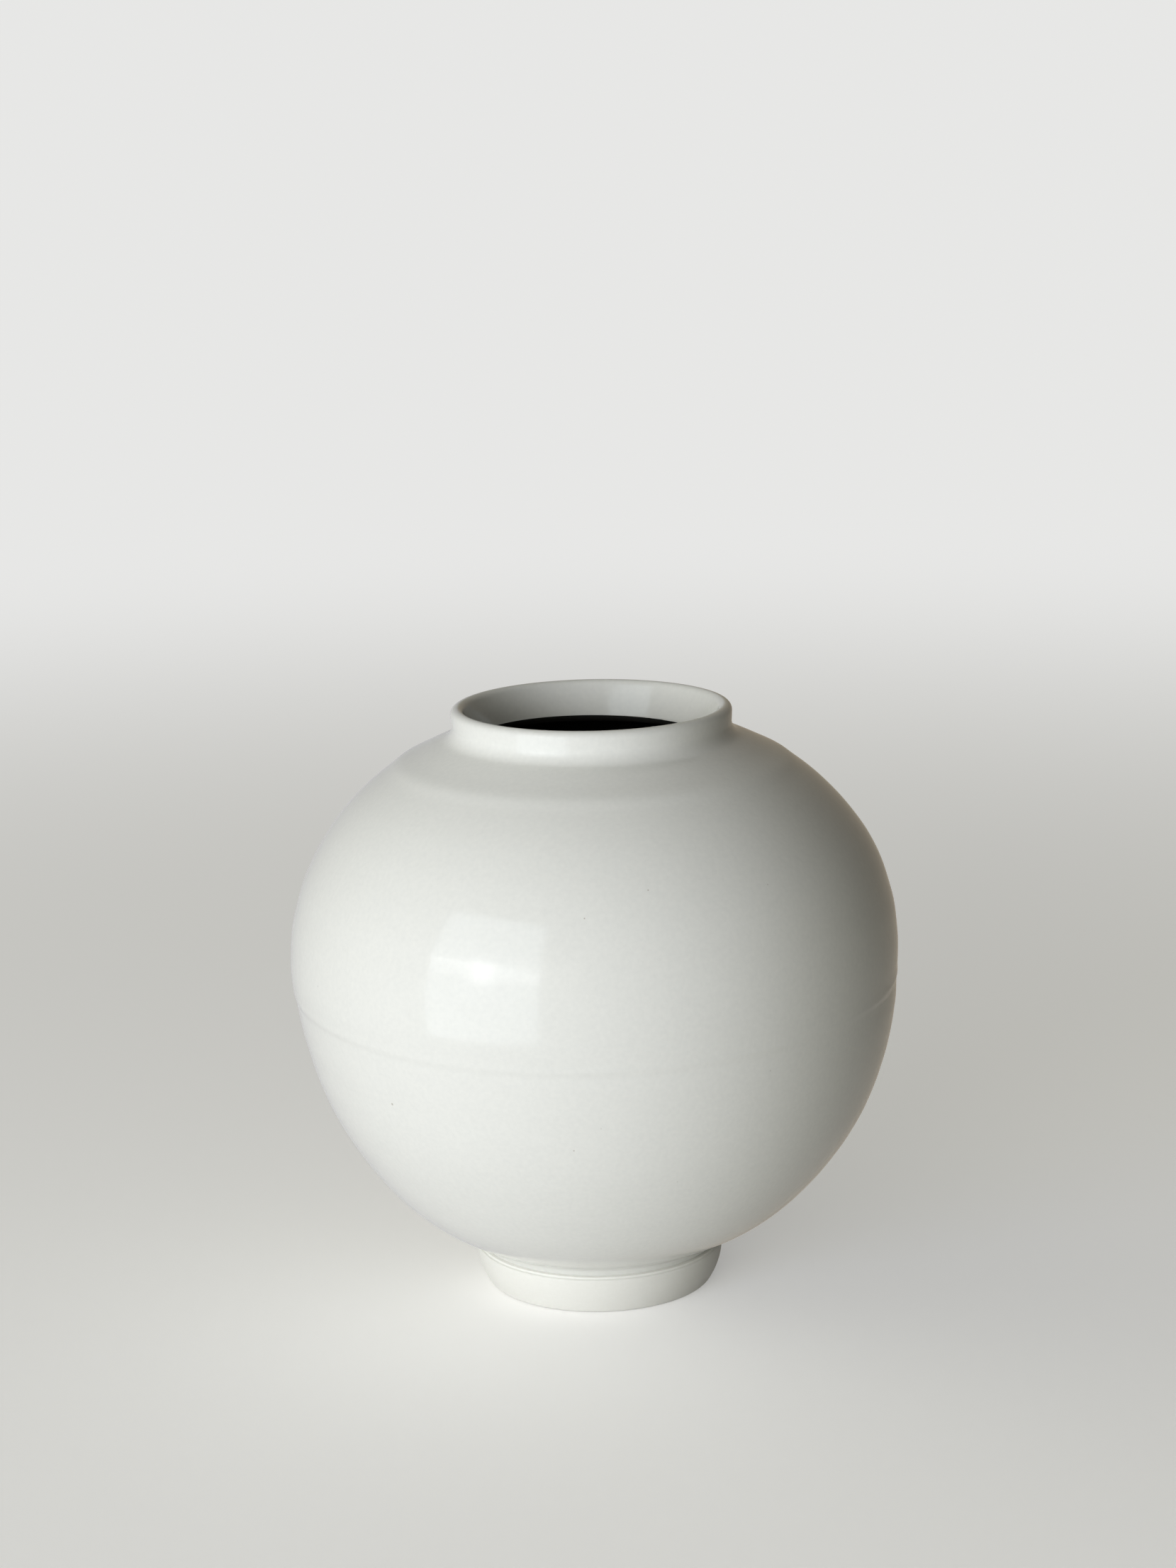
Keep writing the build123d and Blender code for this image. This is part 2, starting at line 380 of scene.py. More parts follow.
@dataclass
class ThrownForm:
    """Unevenness of the hand-thrown jar, shared by all its pieces.

    The two bowls were joined a little off centre, and the body leans. The waist joint shows as a soft step with
    a fine ridge and a trimmed line, a faint ring runs round the shoulder, and the throat is out of true. Angles
    round the jar are measured from +X towards +Y. Tilts are in degrees, and a pair of radii or heights gives
    where an effect starts and where it is in full.
    """

    outline: Outline
    # Lean of the body, then lean, nod and drop of the mouth, and where the mouth's own lean takes over
    body_tilt: float = -0.85
    mouth_tilt: float = 0.12
    mouth_nod: float = 0.2
    mouth_drop: float = 0.14
    mouth_from: float = 85.0
    mouth_below_rim: float = 5.0
    # Shift, lean, squeeze and drop of the throat, and where on the jar they are felt
    throat_shift: float = -0.65
    throat_tilt: float = -0.7
    throat_pinch: float = 0.6
    throat_drop: float = 0.2
    throat_radii: Point = (27.6, 25.6)
    throat_heights: Point = (116.0, 119.0)
    lip_heights: Point = (127.0, 121.0)
    # Run of the waist joint round the jar, and the soft step between the bowls just under it
    seam_middle: float = 67.4
    seam_rise: float = 1.3
    seam_fold: float = 0.8
    seam_lean: float = 0.4
    step_height: float = 4.6
    step_above: float = 0.3
    # Trimmed line along the joint, with a ridge over it
    line_lean: float = 1.6
    line_drop: float = 0.2
    trim_depth: float = 0.06
    trim_width: float = 0.9
    trim_offset: float = -0.9
    ridge_height: float = 0.1
    ridge_offset: float = 0.5
    # Ripples of throwing and the ring on the shoulder, and the radii from which the belly shows them
    ripple_height: float = 0.012
    ripple_pitch: float = 6.5
    ring_at: float = 115.7
    ring_height: float = 0.48
    ring_width: float = 1.35
    wall_radii: Point = (30.0, 38.0)
    # Hollow round the outside of the collar
    collar_waist: float = 0.22
    collar_waist_at: float = 122.9
    collar_waist_width: float = 2.0
    collar_radii: Point = (27.2, 28.4)
    # Radius within which the swell fades out towards the axis
    still_radius: float = 12.0
    # Height and sideways shift of the two bowls, and height and swell of both together
    lower_shift: tuple[Point, ...] = (
        (8.6, 0.0), (20.0, 0.36), (34.0, 0.54), (52.0, 0.4), (63.0, 0.25), (72.0, 0.2),
    )
    upper_shift: tuple[Point, ...] = (
        (60.0, -0.07), (71.0, -0.07), (78.5, 0.17), (86.0, 0.56), (97.0, 0.95), (109.0, 0.7), (118.0, 0.5),
        (127.1, 0.25),
    )
    swell: tuple[Point, ...] = (
        (8.6, 0.0), (16.0, 0.1), (26.0, -0.15), (41.0, 0.16), (56.0, -0.06), (64.0, -0.14), (70.0, -0.05),
        (76.0, -0.11), (85.0, -0.16), (98.0, -0.11), (112.0, -0.16), (118.0, -0.2), (121.0, 0.0),
    )

    def seam_at(self, turn: np.ndarray) -> np.ndarray:
        """Height of the waist joint at an angle round the jar, in radians."""
        wave = self.seam_rise * np.sin(turn) + self.seam_fold * np.cos(2.0 * turn)
        return self.seam_middle + wave + self.seam_lean * np.cos(turn)

    @staticmethod
    def _along(knots: tuple[Point, ...], height: np.ndarray) -> np.ndarray:
        """Smooth run of a value through its knots.

        Args:
            knots: Height and value of each knot, lowest first.
            height: Heights to read it at.

        Returns:
            The value at each height, level at every knot.
        """
        at = np.array([knot[0] for knot in knots])
        value = np.array([knot[1] for knot in knots])
        index = np.clip(np.searchsorted(at, height) - 1, 0, len(at) - 2)
        share = ease((height - at[index]) / (at[index + 1] - at[index]))
        return value[index] + (value[index + 1] - value[index]) * share

    def _sideways(self, turn: np.ndarray, height: np.ndarray) -> np.ndarray:
        """Shift of the bowls along X.

        Args:
            turn: Angle round the jar, in radians.
            height: Height over the table.

        Returns:
            The lower bowl's shift, or over the step the upper bowl's.
        """
        upper = step_up(height - self.seam_at(turn), -self.step_height, self.step_above)
        return self._along(self.lower_shift, height) * (1.0 - upper) + self._along(self.upper_shift, height) * upper

    def _relief(self, radius: np.ndarray, turn: np.ndarray, height: np.ndarray) -> np.ndarray:
        """How far the bowls' surface stands out from the plain turned one.

        Args:
            radius: Distance of each point from the axis.
            turn: Angle round the jar, in radians.
            height: Height over the table.

        Returns:
            Swell of the bowls, with the waist line, the ripples and the shoulder ring on the outer walls.
        """
        over_line = height - self.seam_at(turn) + self.line_drop - self.line_lean * np.cos(turn)
        line = self.ridge_height * bump(over_line - self.ridge_offset, self.trim_width)
        line = line - self.trim_depth * bump(over_line - self.trim_offset, self.trim_width)
        ripple = self.ripple_height * np.sin(2.0 * math.pi * height / self.ripple_pitch + turn)
        ring = self.ring_height * bump(height - self.ring_at, self.ring_width)
        return self._along(self.swell, height) + (line + ripple + ring) * step_up(radius, *self.wall_radii)

    def _throat_share(self, radius: np.ndarray, height: np.ndarray) -> np.ndarray:
        """How much of the throat's unevenness a point takes, 1 on the narrowest ring of the mouth."""
        ring = step_up(radius, *self.throat_radii) * step_up(height, *self.throat_heights)
        return ring * step_up(height, *self.lip_heights)

    def place(self, radius: np.ndarray, turn: np.ndarray, height: np.ndarray) -> np.ndarray:
        """Moves points of the plain turned jar to where they lie on the thrown one.

        Args:
            radius: Distance of each point from the axis.
            turn: Angle round the jar, in radians.
            height: Height over the table.

        Returns:
            An array of the points' places, with X, Y and Z last.
        """
        base = self.outline.base_height
        over_foot = step_up(height, base, 2.0 * base)
        to_waist = step_up(height, base, self.outline.seam_height)
        to_mouth = step_up(height, self.mouth_from, self.outline.jar_height - self.mouth_below_rim)
        in_throat = self._throat_share(radius, height)
        on_collar = step_up(radius, *self.collar_radii) * bump(height - self.collar_waist_at, self.collar_waist_width)
        out = self._relief(radius, turn, height) * over_foot - self.collar_waist * on_collar
        out = out * step_up(radius, 0.0, self.still_radius) - self.throat_pinch * in_throat
        x = (radius + out) * np.cos(turn)
        y = (radius + out) * np.sin(turn)
        lean = math.radians(self.body_tilt) * to_waist * (1.0 - to_mouth) + math.radians(self.mouth_tilt) * to_mouth
        z = height + lean * x + to_mouth * (math.radians(self.mouth_nod) * y - self.mouth_drop)
        z = z + in_throat * (math.radians(self.throat_tilt) * x - self.throat_drop)
        x = x + self._sideways(turn, height) * over_foot + self.throat_shift * in_throat
        return np.stack(np.broadcast_arrays(x, y, z), axis=-1)


@dataclass
class LatheMesh:
    """Turns closed half sections into meshes of the thrown form."""

    form: ThrownForm
    segments: int = 360
    axis_radius: float = 1e-4
    sharp_angle: float = 38.0

    def build(self, name: str, section: list[Point], segments: int | None = None) -> bpy.types.Object:
        """Makes one closed piece.

        Args:
            name: Name of the piece.
            section: Closed half section, clockwise or not, with no point twice.
            segments: Facets round the axis, or None for the usual number.

        Returns:
            The mesh object, linked to the scene.
        """
        around = segments or self.segments
        points = self._without_repeats(section)
        radius = np.array([point[0] for point in points])
        height = np.array([point[1] for point in points])
        turn = np.linspace(0.0, 2.0 * math.pi, around, endpoint=False)
        grid = self.form.place(radius[:, None], turn[None, :], height[:, None]) * METRES
        vertices: list[tuple[float, float, float]] = []
        rows: list[list[int]] = []
        for index, ring in enumerate(grid):
            first = len(vertices)
            if radius[index] < self.axis_radius:
                vertices.append(tuple(ring.mean(axis=0)))
                rows.append([first] * around)
            else:
                vertices.extend(map(tuple, ring))
                rows.append(list(range(first, first + around)))
        faces = self._faces(rows)
        mesh = bpy.data.meshes.new(name)
        mesh.from_pydata(vertices, [], faces)
        mesh.validate()
        self._face_outwards(mesh)
        mesh.shade_smooth()
        mesh.set_sharp_from_angle(angle=math.radians(self.sharp_angle))
        piece = bpy.data.objects.new(name, mesh)
        bpy.context.scene.collection.objects.link(piece)
        return piece

    @staticmethod
    def _without_repeats(section: list[Point]) -> list[Point]:
        """The section without points that lie on the one before.

        Args:
            section: Radius and height of each point.

        Returns:
            The points that are left.
        """
        nearest = 1e-3
        return [point for index, point in enumerate(section) if math.dist(point, section[index - 1]) > nearest]

    @staticmethod
    def _faces(rows: list[list[int]]) -> list[tuple[int, ...]]:
        """Quads between each row and the next, or triangles round a point on the axis.

        Args:
            rows: Vertex numbers of each row, all the same one where the row is a point.

        Returns:
            Vertex numbers of each face.
        """
        faces: list[tuple[int, ...]] = []
        around = len(rows[0])
        for index, row in enumerate(rows):
            following = rows[(index + 1) % len(rows)]
            row_is_point, next_is_point = row[0] == row[-1], following[0] == following[-1]
            if row_is_point and next_is_point:
                continue
            for start in range(around):
                stop = (start + 1) % around
                corners = (row[start], row[stop], following[stop], following[start])
                if row_is_point:
                    corners = (row[start], following[stop], following[start])
                elif next_is_point:
                    corners = (row[start], row[stop], following[start])
                faces.append(corners)
        return faces

    @staticmethod
    def _face_outwards(mesh: bpy.types.Mesh) -> None:
        """Turns the faces so that the mesh holds a positive volume.

        Args:
            mesh: The closed mesh.
        """
        count = len(mesh.vertices)
        places = np.zeros(3 * count)
        mesh.vertices.foreach_get("co", places)
        places = places.reshape(-1, 3)
        mesh.calc_loop_triangles()
        corners = np.zeros(3 * len(mesh.loop_triangles), dtype=np.int64)
        mesh.loop_triangles.foreach_get("vertices", corners)
        a, b, c = (places[corners.reshape(-1, 3)[:, corner]] for corner in range(3))
        if np.einsum("ij,ij->i", a, np.cross(b, c)).sum() < 0.0:
            mesh.flip_normals()


def path(*parts: Point | list[Point]) -> list[Point]:
    """Joins points and lists of points into one section.

    Args:
        parts: Points and lists of points, in order.

    Returns:
        All their points in one list.
    """
    joined: list[Point] = []
    for part in parts:
        joined.extend(part if isinstance(part, list) else [part])
    return joined


class NodeSheet:
    """Short ways to add and join nodes in one node tree."""

    def __init__(self, tree: bpy.types.NodeTree) -> None:
        """Keeps the tree that the nodes go into."""
        self.tree = tree

    def add(self, kind: str, **values: object) -> bpy.types.Node:
        """Adds a node.

        Args:
            kind: Blender's name of the node type.
            values: Properties of the node, by name.

        Returns:
            The new node.
        """
        node = self.tree.nodes.new(kind)
        for name, value in values.items():
            setattr(node, name, value)
        return node

    def join(self, start: bpy.types.NodeSocket, end: bpy.types.NodeSocket) -> None:
        """Links one socket to another."""
        self.tree.links.new(start, end)

    def feed(self, socket: bpy.types.NodeSocket, value: object) -> None:
        """Links a socket to an input, or writes a number, vector or colour into it."""
        if isinstance(value, bpy.types.NodeSocket):
            self.join(value, socket)
        else:
            socket.default_value = value

    def math(self, operation: str, *inputs: bpy.types.NodeSocket | float) -> bpy.types.NodeSocket:
        """Adds a math node.

        Args:
            operation: Its operation.
            inputs: A socket or a number for each of its inputs.

        Returns:
            Its output.
        """
        node = self.add("ShaderNodeMath", operation=operation)
        for socket, value in zip(node.inputs, inputs):
            self.feed(socket, value)
        return node.outputs[0]

    def vector(self, operation: str, *inputs: object) -> bpy.types.Node:
        """Adds a vector math node.

        Args:
            operation: Its operation.
            inputs: A socket or a vector for each of its inputs.

        Returns:
            The node, because its result is a vector or a value.
        """
        node = self.add("ShaderNodeVectorMath", operation=operation)
        for socket, value in zip(node.inputs, inputs):
            self.feed(socket, value)
        return node

    def place(self) -> bpy.types.NodeSocket:
        """Adds a coordinate node and returns the place on the object, in metres."""
        return self.add("ShaderNodeTexCoord").outputs["Object"]

    def split(self, vector: bpy.types.NodeSocket) -> bpy.types.NodeOutputs:
        """Adds a node that takes a vector apart into X, Y and Z.

        Args:
            vector: The vector.

        Returns:
            Its three parts.
        """
        node = self.add("ShaderNodeSeparateXYZ")
        self.join(vector, node.inputs[0])
        return node.outputs

    def held(self, value: bpy.types.NodeSocket) -> bpy.types.NodeSocket:
        """Adds a node that holds a value between 0 and 1.

        Args:
            value: The value.

        Returns:
            The held value.
        """
        node = self.add("ShaderNodeClamp")
        self.join(value, node.inputs[0])
        return node.outputs[0]

    def ramp(self, value: bpy.types.NodeSocket, start: float, end: float, kind: str) -> bpy.types.NodeSocket:
        """Adds a soft rise of a value.

        Args:
            value: The value.
            start: Where the rise leaves 0.
            end: Where it reaches 1.
            kind: How soft it is, in Blender's words.

        Returns:
            The risen value.
        """
        node = self.add("ShaderNodeMapRange", interpolation_type=kind)
        node.inputs["From Min"].default_value = start
        node.inputs["From Max"].default_value = end
        self.join(value, node.inputs["Value"])
        return node.outputs[0]

    def noise(
        self, place: bpy.types.NodeSocket, per_metre: bpy.types.NodeSocket | float, detail: float = 2.0
    ) -> bpy.types.NodeSocket:
        """Adds a noise texture.

        Args:
            place: Where on the object it is read.
            per_metre: Its waves per metre.
            detail: How many finer layers it has.

        Returns:
            Its value, 0.5 on average.
        """
        node = self.add("ShaderNodeTexNoise")
        node.inputs["Detail"].default_value = detail
        self.join(place, node.inputs["Vector"])
        self.feed(node.inputs["Scale"], per_metre)
        return node.outputs["Fac"]

    def mix(self, share: bpy.types.NodeSocket | float, first: object, second: object) -> bpy.types.NodeSocket:
        """Adds a colour mix.

        Args:
            share: Share of the second colour.
            first: Colour or socket.
            second: Colour or socket.

        Returns:
            The mixed colour.
        """
        node = self.add("ShaderNodeMix", data_type="RGBA")
        for socket, value in ((node.inputs["Factor"], share), (node.inputs[6], first), (node.inputs[7], second)):
            self.feed(socket, value)
        return node.outputs[2]

    def normal(self, height: bpy.types.NodeSocket, depth: float) -> bpy.types.NodeSocket:
        """Adds a bump node.

        Args:
            height: Height of the surface, from 0 to 1.
            depth: How high a height of 1 stands, in metres.

        Returns:
            The bumped normal.
        """
        node = self.add("ShaderNodeBump")
        node.inputs["Distance"].default_value = depth
        self.join(height, node.inputs["Height"])
        return node.outputs[0]


@dataclass
class SurfaceEffects:
    """Shader node groups that more than one finish uses. They put out masks and heights only.

    Attributes:
        fine_clouds: How many times finer the mottle's small clouds are than its wide ones.
        fine_waves: How many times finer the orange peel's ripples are than its waves.
        least_speck: Size added to every speck, so that none is of size zero.
        speck_edge: How steeply a speck rises from its edge.
        wavers_per_metre: How often a turning line wavers.
        spot_core: Strength of a spot at its middle, where it is held to 1.
        spot_fall: How much of that is lost on the way to its radius.
    """

    fine_clouds: float = 9.0
    fine_waves: float = 3.2
    least_speck: float = 0.001
    speck_edge: float = 2.0
    wavers_per_metre: float = 40.0
    spot_core: float = 1.6
    spot_fall: float = 1.2

    def __post_init__(self) -> None:
        """Builds each group once."""
        self.mottle = self._mottle()
        self.orange_peel = self._orange_peel()
        self.specks = self._specks()
        self.turning_lines = self._turning_lines()
        self.spot = self._spot()

    @staticmethod
    def _group(
        name: str, inputs: dict[str, float], output: str
    ) -> tuple[NodeSheet, bpy.types.NodeOutputs, bpy.types.NodeSocket]:
        """Starts a node group.

        Args:
            name: Its name.
            inputs: Name and usual value of each number that goes in.
            output: Name of the value that comes out.

        Returns:
            The group's sheet, what goes into the group and the socket of what comes out.
        """
        tree = bpy.data.node_groups.new(name, "ShaderNodeTree")
        for label, value in inputs.items():
            socket = tree.interface.new_socket(name=label, in_out="INPUT", socket_type="NodeSocketFloat")
            socket.default_value = value
        tree.interface.new_socket(name=output, in_out="OUTPUT", socket_type="NodeSocketFloat")
        sheet = NodeSheet(tree)
        return sheet, sheet.add("NodeGroupInput").outputs, sheet.add("NodeGroupOutput").inputs[output]

    def _mottle(self) -> bpy.types.NodeTree:
        """Soft cloudiness of a fired coat: wide clouds with finer ones on them.

        Returns:
            The group, which puts out a mask.
        """
        sheet, given, result = self._group("fired_mottle", {"Clouds per metre": 60.0, "Fine share": 0.4}, "Mask")
        place = sheet.place()
        wide = sheet.noise(place, given["Clouds per metre"])
        finer = sheet.math("MULTIPLY", given["Clouds per metre"], self.fine_clouds)
        shift = sheet.math("SUBTRACT", sheet.noise(place, finer, detail=4.0), wide)
        sheet.join(sheet.math("MULTIPLY_ADD", shift, given["Fine share"], wide), result)
        return sheet.tree

    def _orange_peel(self) -> bpy.types.NodeTree:
        """Fine waviness of a glaze that has levelled almost smooth.

        Returns:
            The group, which puts out a height.
        """
        inputs = {"Waves per metre": 900.0, "Ripple share": 0.35}
        sheet, given, result = self._group("orange_peel", inputs, "Height")
        place = sheet.place()
        wave = sheet.noise(place, given["Waves per metre"], detail=1.0)
        ripple = sheet.noise(place, sheet.math("MULTIPLY", given["Waves per metre"], self.fine_waves))
        sheet.join(sheet.math("MULTIPLY_ADD", ripple, given["Ripple share"], wave), result)
        return sheet.tree

    def _specks(self) -> bpy.types.NodeTree:
        """Sparse tiny dots, such as iron in the clay or pinholes in a glaze.

        Returns:
            The group, which puts out a mask.
        """
        inputs = {"Cells per metre": 500.0, "Dot size": 0.16, "Share kept": 0.12}
        sheet, given, result = self._group("iron_specks", inputs, "Mask")
        cells = sheet.add("ShaderNodeTexVoronoi", feature="F1")
        sheet.join(sheet.place(), cells.inputs["Vector"])
        sheet.join(given["Cells per metre"], cells.inputs["Scale"])
        chance, share_of_size, _ = self._channels(sheet, cells.outputs["Color"])
        kept = sheet.math("LESS_THAN", chance, given["Share kept"])
        size = sheet.math("MULTIPLY", given["Dot size"], share_of_size)
        inside = sheet.math("SUBTRACT", size, cells.outputs["Distance"])
        edge = sheet.math("DIVIDE", inside, sheet.math("ADD", size, self.least_speck))
        soft = sheet.held(sheet.math("MULTIPLY", edge, self.speck_edge))
        sheet.join(sheet.math("MULTIPLY", soft, kept), result)
        return sheet.tree

    @staticmethod
    def _channels(sheet: NodeSheet, colour: bpy.types.NodeSocket) -> bpy.types.NodeOutputs:
        """Adds a node that takes a colour apart into its three channels.

        Args:
            sheet: The sheet that it goes on.
            colour: The colour.

        Returns:
            The channels.
        """
        node = sheet.add("ShaderNodeSeparateColor")
        sheet.join(colour, node.inputs[0])
        return node.outputs

    def _turning_lines(self) -> bpy.types.NodeTree:
        """Level lines that a turning tool leaves in clay, faint and uneven.

        Returns:
            The group, which puts out a height.
        """
        inputs = {"Lines per metre": 1500.0, "Waver": 0.3}
        sheet, given, result = self._group("turning_lines", inputs, "Height")
        place = sheet.place()
        waver = sheet.math("MULTIPLY", sheet.noise(place, self.wavers_per_metre), given["Waver"])
        level = sheet.math("MULTIPLY", sheet.split(place)["Z"], given["Lines per metre"])
        strip = sheet.add("ShaderNodeTexNoise", noise_dimensions="1D")
        strip.inputs["Scale"].default_value = 1.0
        strip.inputs["Detail"].default_value = 3.0
        sheet.join(sheet.math("ADD", level, waver), strip.inputs["W"])
        sheet.join(strip.outputs["Fac"], result)
        return sheet.tree

    def _spot(self) -> bpy.types.NodeTree:
        """One soft round spot at a place, for a single grain of iron that melted into a coat.

        Returns:
            The group, which puts out a mask.
        """
        inputs = {"X": 0.0, "Y": 0.0, "Z": 0.0, "Radius": 0.0003}
        sheet, given, result = self._group("single_spot", inputs, "Mask")
        centre = sheet.add("ShaderNodeCombineXYZ")
        for axis in "XYZ":
            sheet.join(given[axis], centre.inputs[axis])
        away = sheet.vector("DISTANCE", sheet.place(), centre.outputs[0])
        near = sheet.math("DIVIDE", away.outputs["Value"], given["Radius"])
        fall = sheet.math("MULTIPLY", near, self.spot_fall)
        sheet.join(sheet.held(sheet.math("SUBTRACT", self.spot_core, fall)), result)
        return sheet.tree


def use_group(sheet: NodeSheet, tree: bpy.types.NodeTree, values: dict[str, float]) -> bpy.types.NodeSocket:
    """Places a node group in a material.

    Args:
        sheet: The material's sheet.
        tree: The group.
        values: Value of each input, by name.

    Returns:
        The group's output.
    """
    node = sheet.add("ShaderNodeGroup", node_tree=tree)
    for name, value in values.items():
        node.inputs[name].default_value = value
    return node.outputs[0]


def start_material(name: str) -> tuple[bpy.types.Material, NodeSheet, bpy.types.Node]:
    """Starts a material.

    Args:
        name: Its name.

    Returns:
        The material, its sheet and its Principled shader, joined to the output.
    """
    material = bpy.data.materials.new(name)
    material.use_nodes = True
    material.node_tree.nodes.clear()
    sheet = NodeSheet(material.node_tree)
    shader = sheet.add("ShaderNodeBsdfPrincipled")
    output = sheet.add("ShaderNodeOutputMaterial")
    sheet.join(shader.outputs[0], output.inputs["Surface"])
    return material, sheet, shader


@dataclass(frozen=True)
class Clouds:
    """Mottle of a finish.

    Attributes:
        per_metre: Wide clouds per metre.
        fine_share: Share of the finer clouds on them.
    """

    per_metre: float
    fine_share: float

    def mask(self, sheet: NodeSheet, effects: SurfaceEffects) -> bpy.types.NodeSocket:
        """Places the mottle in a material."""
        values = {"Clouds per metre": self.per_metre, "Fine share": self.fine_share}
        return use_group(sheet, effects.mottle, values)


@dataclass(frozen=True)
class Specks:
    """Sparse dark specks of a finish.

    Attributes:
        per_metre: Cells per metre, each with room for one speck.
        size: Size of the largest speck, against its cell.
        share: Share of the cells that hold one.
        strength: How strongly it colours the finish.
    """

    per_metre: float
    size: float
    share: float
    strength: float

    def over(
        self, sheet: NodeSheet, effects: SurfaceEffects, ground: bpy.types.NodeSocket, colour: Colour
    ) -> bpy.types.NodeSocket:
        """Lays the specks over a ground.

        Args:
            sheet: The material's sheet.
            effects: The shared node groups.
            ground: Colour of the ground.
            colour: Colour of the specks.

        Returns:
            The speckled colour.
        """
        values = {"Cells per metre": self.per_metre, "Dot size": self.size, "Share kept": self.share}
        dots = use_group(sheet, effects.specks, values)
        return sheet.mix(sheet.math("MULTIPLY", dots, self.strength), ground, colour)


@dataclass(frozen=True)
class Waves:
    """Fine waviness of a finish.

    Attributes:
        per_metre: Waves per metre.
        ripple_share: Height of the finer ripples against the waves.
    """

    per_metre: float
    ripple_share: float

    def height(self, sheet: NodeSheet, effects: SurfaceEffects) -> bpy.types.NodeSocket:
        """Places the waviness in a material."""
        values = {"Waves per metre": self.per_metre, "Ripple share": self.ripple_share}
        return use_group(sheet, effects.orange_peel, values)


@dataclass(frozen=True)
class GlazeFinish:
    """Milk-white glaze, levelled almost smooth, with a few melted iron grains."""

    name: str
    colour: Colour = (0.765, 0.775, 0.75, 1.0)
    cloud_colour: Colour = (0.86, 0.865, 0.83, 1.0)
    clouds: Clouds = Clouds(per_metre=110.0, fine_share=0.85)
    speck_colour: Colour = (0.30, 0.25, 0.20, 1.0)
    specks: Specks = Specks(per_metre=260.0, size=0.055, share=0.2, strength=0.3)
    spots: tuple[Spot, ...] = ()
    spot_strength: float = 0.6
    roughness: float = 0.085
    roughness_spread: float = 0.04
    roughness_clouds: Clouds = Clouds(per_metre=140.0, fine_share=0.6)
    specular: float = 0.45
    waves: Waves = Waves(per_metre=1100.0, ripple_share=0.4)
    wave_height: float = 0.00001

    def material(self, effects: SurfaceEffects) -> bpy.types.Material:
        """Makes the material.

        Args:
            effects: The shared node groups.

        Returns:
            The glaze.
        """
        material, sheet, shader = start_material(self.name)
        shader.inputs["Specular IOR Level"].default_value = self.specular
        colour = sheet.mix(self.clouds.mask(sheet, effects), self.colour, self.cloud_colour)
        colour = self.specks.over(sheet, effects, colour, self.speck_colour)
        for x, y, z, radius in self.spots:
            mark = use_group(sheet, effects.spot, {"X": x, "Y": y, "Z": z, "Radius": radius})
            colour = sheet.mix(sheet.math("MULTIPLY", mark, self.spot_strength), colour, self.speck_colour)
        sheet.join(colour, shader.inputs["Base Color"])
        patch, least = self.roughness_clouds.mask(sheet, effects), self.roughness - self.roughness_spread / 2
        rough = sheet.math("MULTIPLY_ADD", patch, self.roughness_spread, least)
        sheet.join(rough, shader.inputs["Roughness"])
        peel = self.waves.height(sheet, effects)
        sheet.join(sheet.normal(peel, self.wave_height), shader.inputs["Normal"])
        return material


@dataclass(frozen=True)
class BareClayFinish:
    """Bare fired porcelain, matte, with level turning lines and a fine grain."""

    name: str
    colour: Colour = (0.83, 0.83, 0.79, 1.0)
    cloud_colour: Colour = (0.79, 0.785, 0.745, 1.0)
    clouds: Clouds = Clouds(per_metre=160.0, fine_share=0.75)
    speck_colour: Colour = (0.36, 0.29, 0.22, 1.0)
    specks: Specks = Specks(per_metre=420.0, size=0.1, share=0.16, strength=0.4)
    roughness: float = 0.55
    roughness_spread: float = 0.2
    specular: float = 0.3
    lines_per_metre: float = 1700.0
    line_waver: float = 0.5
    line_height: float = 0.00004
    grain: Waves = Waves(per_metre=3200.0, ripple_share=0.8)
    grain_share: float = 0.5

    def material(self, effects: SurfaceEffects) -> bpy.types.Material:
        """Makes the material.

        Args:
            effects: The shared node groups.

        Returns:
            The bare clay.
        """
        material, sheet, shader = start_material(self.name)
        shader.inputs["Specular IOR Level"].default_value = self.specular
        patch, least = self.clouds.mask(sheet, effects), self.roughness - self.roughness_spread / 2
        colour = sheet.mix(patch, self.colour, self.cloud_colour)
        colour = self.specks.over(sheet, effects, colour, self.speck_colour)
        sheet.join(colour, shader.inputs["Base Color"])
        rough = sheet.math("MULTIPLY_ADD", patch, self.roughness_spread, least)
        sheet.join(rough, shader.inputs["Roughness"])
        values = {"Lines per metre": self.lines_per_metre, "Waver": self.line_waver}
        lines = use_group(sheet, effects.turning_lines, values)
        height = sheet.math("MULTIPLY_ADD", self.grain.height(sheet, effects), self.grain_share, lines)
        sheet.join(sheet.normal(height, self.line_height), shader.inputs["Normal"])
        return material


@dataclass
class Dresser:
    """Gives a finished mesh its material, its body and the node that it stands for."""

    materials: dict[Slot, bpy.types.Material]

    def dress(self, piece: bpy.types.Object, node: str, slot: Slot) -> bpy.types.Object:
        """Dresses one piece.

        Args:
            piece: The mesh object.
            node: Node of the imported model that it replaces.
            slot: Material slot that it takes its finish from.

        Returns:
            The same object.
        """
        piece.data.materials.append(self.materials[slot])
        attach(piece, "root")
        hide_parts(node)
        return piece


